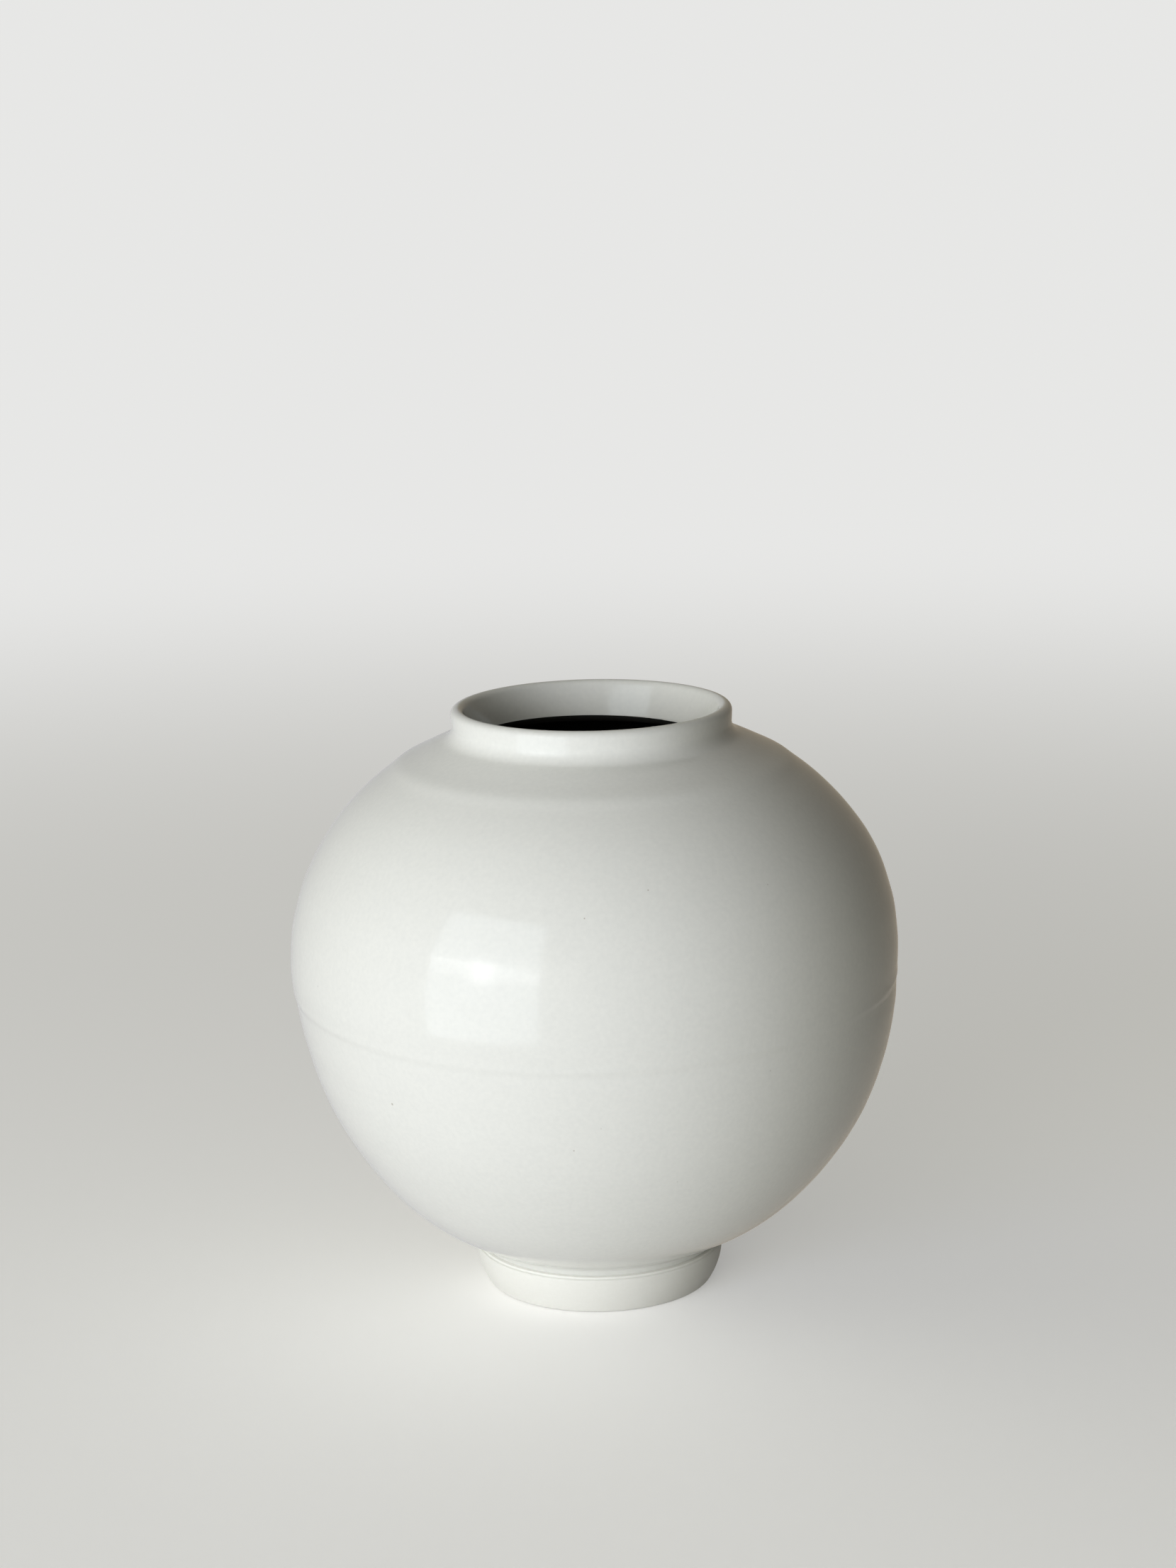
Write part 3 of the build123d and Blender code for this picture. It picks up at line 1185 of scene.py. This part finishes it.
@dataclass
class ThrownBody:
    """The two thrown bowls of the belly and the slip between their rims."""

    outline: Outline
    lathe: LatheMesh
    row_step: float = 1.4
    throat_step: float = 1.4 / 3
    segments: int = 360

    def lower_section(self) -> list[Point]:
        """Half section of the lower bowl, with the jar's floor.

        Returns:
            Radius and height of each point, in order round the section.
        """
        line = self.outline
        outer_angle, apex, inner_angle = line.waist_rim(line.seam_height - line.slip / 2)
        return path(
            (0.0, line.floor_height),
            (0.0, line.base_height),
            (line.groove_radius / 2, line.base_height),
            line.groove_wall(),
            line.base_curve.backwards().walk(self.row_step),
            line.lower_belly.between(line.lower_belly.end, outer_angle).walk(self.row_step),
            apex,
            line.lower_belly.inside(line.wall).between(inner_angle, line.lower_belly.end).walk(self.row_step),
            line.base_inside.walk(self.row_step),
            line.floor_edge.walk(self.row_step),
        )

    def upper_section(self) -> list[Point]:
        """Half section of the upper bowl, up to the collar's seat.

        Returns:
            Radius and height of each point, in order round the section.
        """
        line = self.outline
        outer_angle, apex, inner_angle = line.waist_rim(line.seam_height + line.slip / 2)
        seat_outer, seat_inner = line.collar_seat()
        return path(
            apex,
            line.lower_belly.between(outer_angle, 0.0).walk(self.row_step),
            line.upper_belly.walk(self.row_step),
            line.shoulder_outside.between(line.shoulder_outside.start, seat_outer).walk(self.row_step),
            line.throat_bottom.between(seat_inner, line.throat_bottom.end).walk(self.throat_step),
            line.ceiling.backwards().walk(self.row_step),
            line.upper_belly.inside(line.wall).backwards().walk(self.row_step),
            line.lower_belly.inside(line.wall).between(0.0, inner_angle).walk(self.row_step),
        )

    def slip_section(self) -> list[Point]:
        """Half section of the slip ring between the keyed rims.

        Returns:
            Radius and height of each point, in order round the section.
        """
        line = self.outline
        low, high = (line.waist_rim(line.seam_height + side * line.slip / 2) for side in (-1, 1))
        inner = line.lower_belly.inside(line.wall)
        return path(
            line.lower_belly.between(low[0], high[0]).walk(self.row_step),
            high[1],
            inner.between(high[2], low[2]).walk(self.row_step),
            low[1],
        )

    def build(self, dresser: Dresser) -> list[bpy.types.Object]:
        """Builds and dresses the three pieces.

        Args:
            dresser: Gives each piece its material, body and node.

        Returns:
            The two bowls and the slip ring.
        """
        sections = (
            ("thrown_lower_bowl", "lower_bowl", self.lower_section(), Slot.BODY),
            ("thrown_upper_bowl", "upper_bowl", self.upper_section(), Slot.BODY),
            ("waist_joint_slip", "waist_slip", self.slip_section(), Slot.SLIP),
        )
        return [
            dresser.dress(self.lathe.build(name, section, self.segments), node, slot)
            for name, node, section, slot in sections
        ]


@dataclass
class Mouth:
    """The short collar round the mouth and the slip that it was set on."""

    outline: Outline
    lathe: LatheMesh
    row_step: float = 0.4
    segments: int = 240

    def collar_section(self) -> list[Point]:
        """Half section of the collar, with its fillet, lip and funnel.

        Returns:
            Radius and height of each point, in order round the section.
        """
        line = self.outline
        return path(*(bend.walk(self.row_step) for bend in (line.collar_fillet, line.lip, line.throat_top)))

    def slip_section(self) -> list[Point]:
        """Half section of the slip layer under the collar.

        Returns:
            Radius and height of each point, in order round the section.
        """
        line = self.outline
        seat_outer, seat_inner = line.collar_seat()
        return path(
            line.shoulder_outside.between(seat_outer, line.shoulder_outside.end).walk(self.row_step),
            line.throat_bottom.between(180.0, seat_inner).walk(self.row_step),
        )

    def build(self, dresser: Dresser) -> list[bpy.types.Object]:
        """Builds and dresses the two pieces.

        Args:
            dresser: Gives each piece its material, body and node.

        Returns:
            The collar and the slip under it.
        """
        collar = self.lathe.build("upright_mouth_collar", self.collar_section(), self.segments)
        slip = self.lathe.build("collar_joint_slip", self.slip_section(), self.segments)
        return [
            dresser.dress(collar, "mouth_collar", Slot.BODY),
            dresser.dress(slip, "collar_slip", Slot.SLIP),
        ]


@dataclass
class Foot:
    """The bare foot ring and the slip under the lower bowl."""

    outline: Outline
    lathe: LatheMesh
    ledge: float = 0.7
    taper: float = 2.7
    width: float = 4.6
    well_draft: float = 0.8
    edge_radius: float = 0.6
    top_radius: float = 0.48
    slip_flare: float = 0.2
    row_step: float = 0.25
    nick_turn: float = -124.0
    nick_depth: float = 0.45
    nick_width: float = 0.55
    nick_slope: float = 0.6
    nick_reach: float = 3.0
    corner_points: int = 7
    spread_points: int = 5

    @property
    def top_outside(self) -> float:
        """Outer radius of the ring at its top."""
        return self.outline.groove_radius + self.ledge

    @property
    def well_bottom(self) -> float:
        """Inner radius of the ring where it stands."""
        return self.top_outside - self.taper - self.width

    @property
    def well_top(self) -> float:
        """Inner radius of the ring at its top."""
        return self.well_bottom - self.well_draft

    def ring_section(self) -> list[Point]:
        """Half section of the ring, with rounded edges.

        Returns:
            Radius and height of each point, in order round the section.
        """
        height = self.outline.foot_height
        radius = (height**2 + self.taper**2) / (2 * self.taper)
        side = Bend((self.top_outside - radius, height), radius, -math.degrees(math.asin(height / radius)), 0.0)
        foot = side.at(side.start)
        # Rounds of the two standing edges and of the ledge, each tangent to its sides
        heel_angle, ledge_angle = side.angle_at(self.edge_radius), side.angle_at(height - self.top_radius)
        heel_in, top_in = (foot[0] - self.edge_radius, 0.0), (self.top_outside - self.top_radius, height)
        well_start = (self.well_bottom - self.well_draft / height * self.edge_radius, self.edge_radius)
        toe_in = (self.well_bottom + self.edge_radius, 0.0)
        return path(
            self._line(toe_in, heel_in),
            soft_corner(heel_in, foot, side.at(heel_angle), self.corner_points),
            side.between(heel_angle, ledge_angle).walk(self.row_step),
            soft_corner(side.at(ledge_angle), (self.top_outside, height), top_in, self.corner_points),
            self._line(top_in, (self.well_top, height)),
            self._line((self.well_top, height), well_start),
            soft_corner(well_start, (self.well_bottom, 0.0), toe_in, self.corner_points),
        )

    def _line(self, start: Point, end: Point) -> list[Point]:
        """Evenly spaced points on a straight line.

        Args:
            start: First point.
            end: Last point.

        Returns:
            Radius and height of each point, both ends included.
        """
        count = max(1, math.ceil(math.dist(start, end) / (2 * self.row_step)))
        return [
            (start[0] + (end[0] - start[0]) * step / count, start[1] + (end[1] - start[1]) * step / count)
            for step in range(count + 1)
        ]

    def slip_section(self) -> list[Point]:
        """Half section of the slip layer between the ring and the bowl, which spreads a little on the ledge.

        Returns:
            Radius and height of each point, in order round the section.
        """
        line = self.outline
        spread = [
            (line.groove_radius + self.slip_flare * (1.0 - share) ** 2, line.foot_height + line.slip * share)
            for share in np.linspace(0.0, 1.0, self.spread_points)
        ]
        return path((self.well_top, line.foot_height), spread, (self.well_top, line.base_height))

    def nick(self, ring: bpy.types.Object) -> None:
        """Presses a small dent into the ledge, where something touched the soft clay.

        Args:
            ring: The foot ring's object.
        """
        turn = math.radians(self.nick_turn)
        x, y = self.top_outside * math.cos(turn), self.top_outside * math.sin(turn)
        spot = Vector((x, y, self.outline.foot_height)) * METRES
        inward = Vector((-math.cos(turn), -math.sin(turn), -self.nick_slope)).normalized()
        for vertex in ring.data.vertices:
            away = (vertex.co - spot).length / (self.nick_width * METRES)
            if away < self.nick_reach:
                vertex.co += inward * self.nick_depth * METRES * math.exp(-away * away)

    def build(self, dresser: Dresser) -> list[bpy.types.Object]:
        """Builds and dresses the two pieces.

        Args:
            dresser: Gives each piece its material, body and node.

        Returns:
            The ring and the slip over it.
        """
        ring = self.lathe.build("turned_foot_ring", self.ring_section())
        self.nick(ring)
        slip = self.lathe.build("foot_joint_slip", self.slip_section())
        return [dresser.dress(ring, "foot_ring", Slot.FOOT), dresser.dress(slip, "foot_slip", Slot.SLIP)]


@dataclass
class GlazeCoats:
    """The two coats of glaze, outside and inside, that meet at the narrowest ring of the mouth."""

    outline: Outline
    lathe: LatheMesh
    row_step: float = 1.1
    seam_step: float = 0.35
    seam_zone: float = 7.0
    segments: int = 300
    inner_segments: int = 240
    hidden_rows: int = 3
    tight_bend: float = 5.0
    rows_per_radius: float = 6.0
    finest_share: float = 0.25
    pool_reach: float = 2.0
    pool_rows: int = 14
    edge_thickness: float = 0.12

    def coat_rows(self, bends: list[Bend]) -> list[tuple[Bend, float]]:
        """Angles along a chain of bends, closer together near the waist joint.

        Args:
            bends: The bends in order.

        Returns:
            Each row's bend and angle on it.
        """
        rows: list[tuple[Bend, float]] = []
        for bend in bends:
            span = math.radians(abs(bend.end - bend.start)) * bend.radius
            done = 0.0
            while done < span:
                angle = bend.start + (bend.end - bend.start) * done / span
                rows.append((bend, angle))
                near_seam = abs(bend.at(angle)[1] - self.outline.seam_height) < self.seam_zone
                step = self.seam_step if near_seam else self.row_step
                done += min(step, max(bend.radius / self.rows_per_radius, self.row_step * self.finest_share))
            rows.append((bend, bend.end))
        return rows

    def hidden_side(self, rows: list[tuple[Bend, float]]) -> list[Point]:
        """Points of the coat's face on the clay, with fewer rows on the wide bends.

        Args:
            rows: Bend and angle of each row of the coat's open face.

        Returns:
            Radius and height of each point, first and last row included.
        """
        last = len(rows) - 1
        return [
            bend.at(angle)
            for index, (bend, angle) in enumerate(rows)
            if index in (0, last) or index % self.hidden_rows == 0 or bend.radius < self.tight_bend
        ]

    def outer_section(self) -> list[Point]:
        """Half section of the outer coat, which pools in the groove and ends just over the foot's ledge.

        Returns:
            Radius and height of each point, in order round the section.
        """
        line = self.outline
        start = line.base_curve.end + math.degrees(self.pool_reach / line.base_curve.radius)
        bends = [
            line.base_curve.between(start, line.base_curve.start),
            line.lower_belly.between(line.lower_belly.end, 0.0),
            line.upper_belly,
            line.shoulder_outside,
            line.collar_fillet,
            line.lip,
            line.throat_top,
        ]
        rows = self.coat_rows(bends)
        outer = [bend.at(angle, line.glaze) for bend, angle in rows]
        clay = self.hidden_side(rows)
        wall = line.groove_wall()[1:]
        under = line.base_curve.between(line.base_curve.end, start).walk(self.seam_step)
        edge = (wall[0][0] + self.edge_thickness, wall[0][1] + self.edge_thickness / 2)
        corner = (wall[-1][0] + 2 * line.glaze, wall[-1][1] - line.glaze)
        pool = soft_corner(edge, corner, outer[0], self.pool_rows)
        clay_side = path(wall[1:], under[1:-1], clay)
        return path(wall[0], pool[:-1], outer, list(reversed(clay_side)))

    def inner_section(self) -> list[Point]:
        """Half section of the inner coat, from the mouth down to the floor.

        Returns:
            Radius and height of each point, in order round the section.
        """
        line = self.outline
        bends = [
            line.throat_bottom,
            line.ceiling.backwards(),
            line.upper_belly.inside(line.wall).backwards(),
            line.lower_belly.inside(line.wall),
            line.base_inside,
            line.floor_edge,
        ]
        rows = self.coat_rows(bends)
        coat = [bend.at(angle, line.glaze) for bend, angle in rows]
        clay = self.hidden_side(rows)
        return path(coat, (0.0, line.floor_height + line.glaze), (0.0, line.floor_height), list(reversed(clay)))

    def build(self, dresser: Dresser) -> list[bpy.types.Object]:
        """Builds and dresses the two coats.

        Args:
            dresser: Gives each piece its material, body and node.

        Returns:
            The outer and the inner coat.
        """
        outer = self.lathe.build("outer_glaze_coat", self.outer_section(), self.segments)
        inner = self.lathe.build("inner_glaze_coat", self.inner_section(), self.inner_segments)
        return [
            dresser.dress(outer, "outer_glaze", Slot.OUTER),
            dresser.dress(inner, "inner_glaze", Slot.INNER),
        ]


class LampUse(Enum):
    """What a lamp is for: the soft light itself, or the window's picture in the glaze."""

    SOFT_LIGHT = "soft light"
    REFLECTION = "reflection"


@dataclass(frozen=True)
class Lamp:
    """Flat square or oblong lamp that faces the jar.

    Attributes:
        name: Its name.
        use: What it is for.
        turn: Its side, in degrees from -Y towards +X.
        height: Height of its middle over the floor, in metres.
        size: Its width and height in metres.
        radiance: How bright its face is, where 1 is white.
        distance: How far from the jar's axis it stands, in metres.
        tint: Colour of its light.
    """

    name: str
    use: LampUse
    turn: float
    height: float
    size: tuple[float, float]
    radiance: float
    distance: float
    tint: tuple[float, float, float] = (1.0, 1.0, 1.0)

    def build(self, target_height: float) -> None:
        """Adds the lamp to the scene.

        Args:
            target_height: Height on the axis that a soft light points at; a window's picture stays upright.
        """
        data = bpy.data.lights.new(self.name, "AREA")
        data.shape = "RECTANGLE"
        data.size, data.size_y = self.size
        data.color = self.tint
        data.energy = self.radiance * math.pi * self.size[0] * self.size[1]
        holder = bpy.data.objects.new(self.name, data)
        turn = math.radians(self.turn)
        holder.location = (self.distance * math.sin(turn), -self.distance * math.cos(turn), self.height)
        drop = 0.0 if self.use is LampUse.REFLECTION else target_height - self.height
        facing = Vector((-self.distance * math.sin(turn), self.distance * math.cos(turn), drop))
        holder.rotation_mode = "QUATERNION"
        holder.rotation_quaternion = facing.to_track_quat("-Z", "Y")
        holder.visible_glossy = self.use is LampUse.REFLECTION
        holder.visible_diffuse = self.use is LampUse.SOFT_LIGHT
        bpy.context.scene.collection.objects.link(holder)


@dataclass(frozen=True)
class Surroundings:
    """Light that comes from each side of the room, one colour a side, with soft passages between."""

    right: Colour
    back: Colour
    top: Colour
    left: Colour
    front: Colour
    bottom: Colour

    def node(self, sheet: NodeSheet) -> bpy.types.NodeSocket:
        """Builds the colour seen in a ray's direction.

        Args:
            sheet: The world's sheet.

        Returns:
            The colour.
        """
        toward = sheet.add("ShaderNodeTexCoord").outputs["Generated"]
        total: object = (0.0, 0.0, 0.0)
        for operation, colours in (
            ("MAXIMUM", (self.right, self.back, self.top)),
            ("MINIMUM", (self.left, self.front, self.bottom)),
        ):
            half = sheet.vector(operation, toward, (0.0, 0.0, 0.0)).outputs[0]
            shares = sheet.split(sheet.vector("MULTIPLY", half, half).outputs[0])
            for share, colour in zip(shares, colours):
                scaled = sheet.vector("SCALE", colour[:3])
                sheet.join(share, scaled.inputs["Scale"])
                total = sheet.vector("ADD", total, scaled.outputs[0]).outputs[0]
        return total


@dataclass
class Studio:
    """Pale floor, soft lamps, the window's picture, dim surroundings and the camera."""

    jar_middle: float = 0.075
    lamps: tuple[Lamp, ...] = (
        Lamp(
            "soft_box_left", LampUse.SOFT_LIGHT, turn=-40.0, height=0.205, size=(0.5, 0.5), radiance=7.45,
            tint=(0.95, 0.99, 1.16), distance=1.25,
        ),
        Lamp(
            "soft_box_front", LampUse.SOFT_LIGHT, turn=-18.0, height=0.205, size=(0.5, 0.5), radiance=9.1,
            tint=(1.02, 1.02, 0.94), distance=1.25,
        ),
        Lamp(
            "window_panes", LampUse.REFLECTION, turn=-41.5, height=0.29, size=(0.86, 1.19), radiance=1.5,
            tint=(0.88, 1.0, 1.07), distance=1.1,
        ),
        Lamp(
            "window_rail", LampUse.REFLECTION, turn=-41.5, height=0.29, size=(0.86, 0.05), radiance=2.0,
            distance=1.09,
        ),
        Lamp(
            "window_glow", LampUse.REFLECTION, turn=-41.5, height=0.28, size=(0.17, 0.15), radiance=2.0,
            distance=1.08,
        ),
    )
    room_light: Surroundings = Surroundings(
        right=(0.02, 0.016, 0.01, 1.0),
        back=(0.15, 0.14, 0.12, 1.0),
        top=(0.16, 0.16, 0.15, 1.0),
        left=(0.85, 0.83, 0.66, 1.0),
        front=(0.03, 0.03, 0.03, 1.0),
        bottom=(0.1, 0.1, 0.1, 1.0),
    )
    backdrop: Surroundings = Surroundings(
        right=(0.12, 0.10, 0.07, 1.0),
        back=(0.57, 0.57, 0.58, 1.0),
        top=(0.90, 0.90, 0.88, 1.0),
        left=(0.85, 0.85, 0.84, 1.0),
        front=(0.90, 0.90, 0.89, 1.0),
        bottom=(0.70, 0.69, 0.67, 1.0),
    )
    dim_wall: Colour = (0.34, 0.29, 0.22, 1.0)
    dim_wall_edge: float = 0.1
    floor_rings: tuple[float, ...] = (0.3, 0.8, 1.6, 3.0, 6.0, 12.0)
    floor_sides: int = 96
    floor_colour: Colour = (0.84, 0.835, 0.825, 1.0)
    floor_roughness: float = 0.9
    far_colour: Colour = (0.80, 0.80, 0.79, 1.0)
    fade_start: float = 0.15
    fade_end: float = 1.2
    floor_lift: float = 0.38
    camera_distance: float = 0.69623
    camera_height: float = 0.261
    camera_side: float = 0.0005
    pitch: float = 12.261
    yaw: float = -0.096
    roll: float = -1.1
    focal_pixels: float = 4731.0
    image_height: float = 2212.0
    sensor: float = 36.0
    clip_start: float = 0.05
    clip_end: float = 50.0

    def _disc(self) -> bpy.types.Mesh:
        """Flat round mesh of rings round the jar's axis.

        Returns:
            The floor's mesh.
        """
        vertices = [(0.0, 0.0, 0.0)]
        for radius in self.floor_rings:
            for step in range(self.floor_sides):
                turn = 2.0 * math.pi * step / self.floor_sides
                vertices.append((radius * math.cos(turn), radius * math.sin(turn), 0.0))
        sides = [(step, (step + 1) % self.floor_sides) for step in range(self.floor_sides)]
        faces: list[tuple[int, ...]] = [(0, 1 + step, 1 + following) for step, following in sides]
        for ring in range(len(self.floor_rings) - 1):
            first = 1 + ring * self.floor_sides
            second = first + self.floor_sides
            faces += [(first + step, second + step, second + after, first + after) for step, after in sides]
        mesh = bpy.data.meshes.new("floor")
        mesh.from_pydata(vertices, [], faces)
        return mesh

    def floor(self) -> None:
        """Adds the round pale floor, which the camera sees fade into the background away from the jar."""
        floor = bpy.data.objects.new("floor", self._disc())
        floor.visible_glossy = False
        bpy.context.scene.collection.objects.link(floor)
        material, sheet, shader = start_material("pale_floor")
        shader.inputs["Roughness"].default_value = self.floor_roughness
        shader.inputs["Specular IOR Level"].default_value = 0.0
        shader.inputs["Emission Color"].default_value = self.far_colour
        away = sheet.vector("LENGTH", sheet.place()).outputs["Value"]
        fade = sheet.ramp(away, self.fade_start, self.fade_end, "SMOOTHERSTEP")
        sheet.join(sheet.mix(fade, self.floor_colour, (0.0, 0.0, 0.0, 1.0)), shader.inputs["Base Color"])
        seen = sheet.add("ShaderNodeLightPath").outputs["Is Camera Ray"]
        lift = sheet.math("MULTIPLY_ADD", fade, 1.0 - self.floor_lift, self.floor_lift)
        sheet.join(sheet.math("MULTIPLY", seen, lift), shader.inputs["Emission Strength"])
        floor.data.materials.append(material)

    def world(self) -> None:
        """Makes the dim room light, the surroundings that gloss mirrors and the pale background of the camera."""
        world = bpy.data.worlds.new("studio")
        world.use_nodes = True
        world.node_tree.nodes.clear()
        bpy.context.scene.world = world
        sheet = NodeSheet(world.node_tree)
        rays = sheet.add("ShaderNodeLightPath").outputs
        gloss = sheet.math("MAXIMUM", rays["Is Glossy Ray"], rays["Is Transmission Ray"])
        sideways = sheet.split(sheet.add("ShaderNodeTexCoord").outputs["Generated"])["X"]
        side = sheet.ramp(sideways, -self.dim_wall_edge, self.dim_wall_edge, "SMOOTHSTEP")
        dim_room = replace(self.backdrop, back=self.dim_wall)
        mirrored = sheet.mix(side, self.backdrop.node(sheet), dim_room.node(sheet))
        colour = sheet.mix(gloss, self.room_light.node(sheet), mirrored)
        colour = sheet.mix(rays["Is Camera Ray"], colour, self.far_colour)
        shade = sheet.add("ShaderNodeBackground")
        sheet.join(colour, shade.inputs["Color"])
        output = sheet.add("ShaderNodeOutputWorld")
        sheet.join(shade.outputs[0], output.inputs["Surface"])

    def camera(self) -> None:
        """Places the camera at the photograph's viewing angle."""
        data = bpy.data.cameras.new("camera")
        data.sensor_fit = "AUTO"
        data.sensor_width = self.sensor
        data.lens = self.focal_pixels / self.image_height * self.sensor
        data.clip_start, data.clip_end = self.clip_start, self.clip_end
        pitch, yaw, roll = (math.radians(angle) for angle in (self.pitch, self.yaw, self.roll))
        forward = Vector((math.sin(yaw) * math.cos(pitch), math.cos(yaw) * math.cos(pitch), -math.sin(pitch)))
        right = forward.cross(Vector((0.0, 0.0, 1.0))).normalized()
        up = right.cross(forward)
        level_right = math.cos(roll) * right + math.sin(roll) * up
        level_up = -math.sin(roll) * right + math.cos(roll) * up
        turn = Matrix((level_right, level_up, -forward)).transposed().to_4x4()
        camera = bpy.data.objects.new("camera", data)
        place = Vector((self.camera_side, -self.camera_distance, self.camera_height))
        camera.matrix_world = Matrix.Translation(place) @ turn
        bpy.context.scene.collection.objects.link(camera)
        bpy.context.scene.camera = camera

    def build(self) -> None:
        """Builds the whole studio."""
        self.camera()
        for lamp in self.lamps:
            lamp.build(self.jar_middle)
        self.floor()
        self.world()


@dataclass(frozen=True)
class IronGrain:
    """Single grain of iron that melted into the outer coat.

    Attributes:
        turn: Its angle round the jar, in degrees.
        height: Its height over the table, in millimetres.
        radius: Radius of the spot that it left, in millimetres.
    """

    turn: float
    height: float
    radius: float

    def spot(self, outline: Outline, form: ThrownForm) -> Spot:
        """Finds the grain's place on the outer coat.

        Args:
            outline: The jar's outline.
            form: Its thrown form.

        Returns:
            X, Y, Z and radius of its spot, in metres.
        """
        bend = outline.lower_belly if self.height < outline.widest_height else outline.upper_belly
        if self.height > outline.upper_belly.at(outline.upper_belly.end)[1]:
            bend = outline.shoulder
        radius = bend.at(bend.angle_at(self.height), outline.glaze)[0]
        place = form.place(np.array(radius), np.array(math.radians(self.turn)), np.array(self.height)) * METRES
        return float(place[0]), float(place[1]), float(place[2]), self.radius * METRES


IRON_GRAINS = (
    IronGrain(-132.4, 53.5, 0.27),
    IronGrain(-94.9, 48.2, 0.16),
    IronGrain(-92.6, 95.7, 0.17),
    IronGrain(-79.9, 100.4, 0.18),
    IronGrain(60.0, 88.0, 0.22),
)


def make_materials(outline: Outline, form: ThrownForm) -> dict[Slot, bpy.types.Material]:
    """Makes the material of each slot.

    Args:
        outline: The jar's outline.
        form: Its thrown form, on which the iron grains are placed.

    Returns:
        The materials by slot.
    """
    effects = SurfaceEffects()
    finishes: dict[Slot, GlazeFinish | BareClayFinish] = {
        # Bare body clay coloured darker than the foot's porcelain: painted shade of the groove over the foot.
        Slot.BODY: BareClayFinish(
            "body_clay_painted_groove_shade",
            colour=(0.74, 0.735, 0.695, 1.0),
            cloud_colour=(0.69, 0.68, 0.64, 1.0),
            specks=Specks(per_metre=420.0, size=0.1, share=0.1, strength=0.4),
        ),
        Slot.FOOT: BareClayFinish("bare_turned_foot"),
        Slot.SLIP: BareClayFinish("fired_slip", roughness=0.7, line_height=0.00002),
        Slot.OUTER: GlazeFinish(
            "milk_white_glaze", spots=tuple(grain.spot(outline, form) for grain in IRON_GRAINS)
        ),
        # Inner coat coloured near black: painted shade of the jar's dark inside.
        Slot.INNER: GlazeFinish(
            "inner_coat_painted_shade",
            colour=(0.012, 0.012, 0.011, 1.0),
            cloud_colour=(0.02, 0.019, 0.017, 1.0),
            roughness=0.3,
            specular=0.3,
        ),
    }
    return {slot: finish.material(effects) for slot, finish in finishes.items()}


def report(pieces: list[bpy.types.Object]) -> None:
    """Writes each piece's name and size to the log.

    Args:
        pieces: The dressed pieces of one sub-assembly.
    """
    for piece in pieces:
        LOG.info("%s: %d faces, %.1f mm wide", piece.name, len(piece.data.polygons), piece.dimensions.x / METRES)


def main() -> None:
    """Loads the frame and builds the jar and its studio around it."""
    logging.basicConfig(level=logging.INFO, format="%(name)s %(message)s")
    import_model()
    outline = Outline.from_frame()
    form = ThrownForm(outline)
    lathe = LatheMesh(form)
    Studio().build()
    dresser = Dresser(make_materials(outline, form))
    for assembly in (
        ThrownBody(outline, lathe),
        Mouth(outline, lathe),
        Foot(outline, lathe),
        GlazeCoats(outline, lathe),
    ):
        report(assembly.build(dresser))
    scene = bpy.context.scene
    scene.view_settings.view_transform = "Standard"
    bpy.context.view_layer.update()


if __name__ == "__main__":
    main()
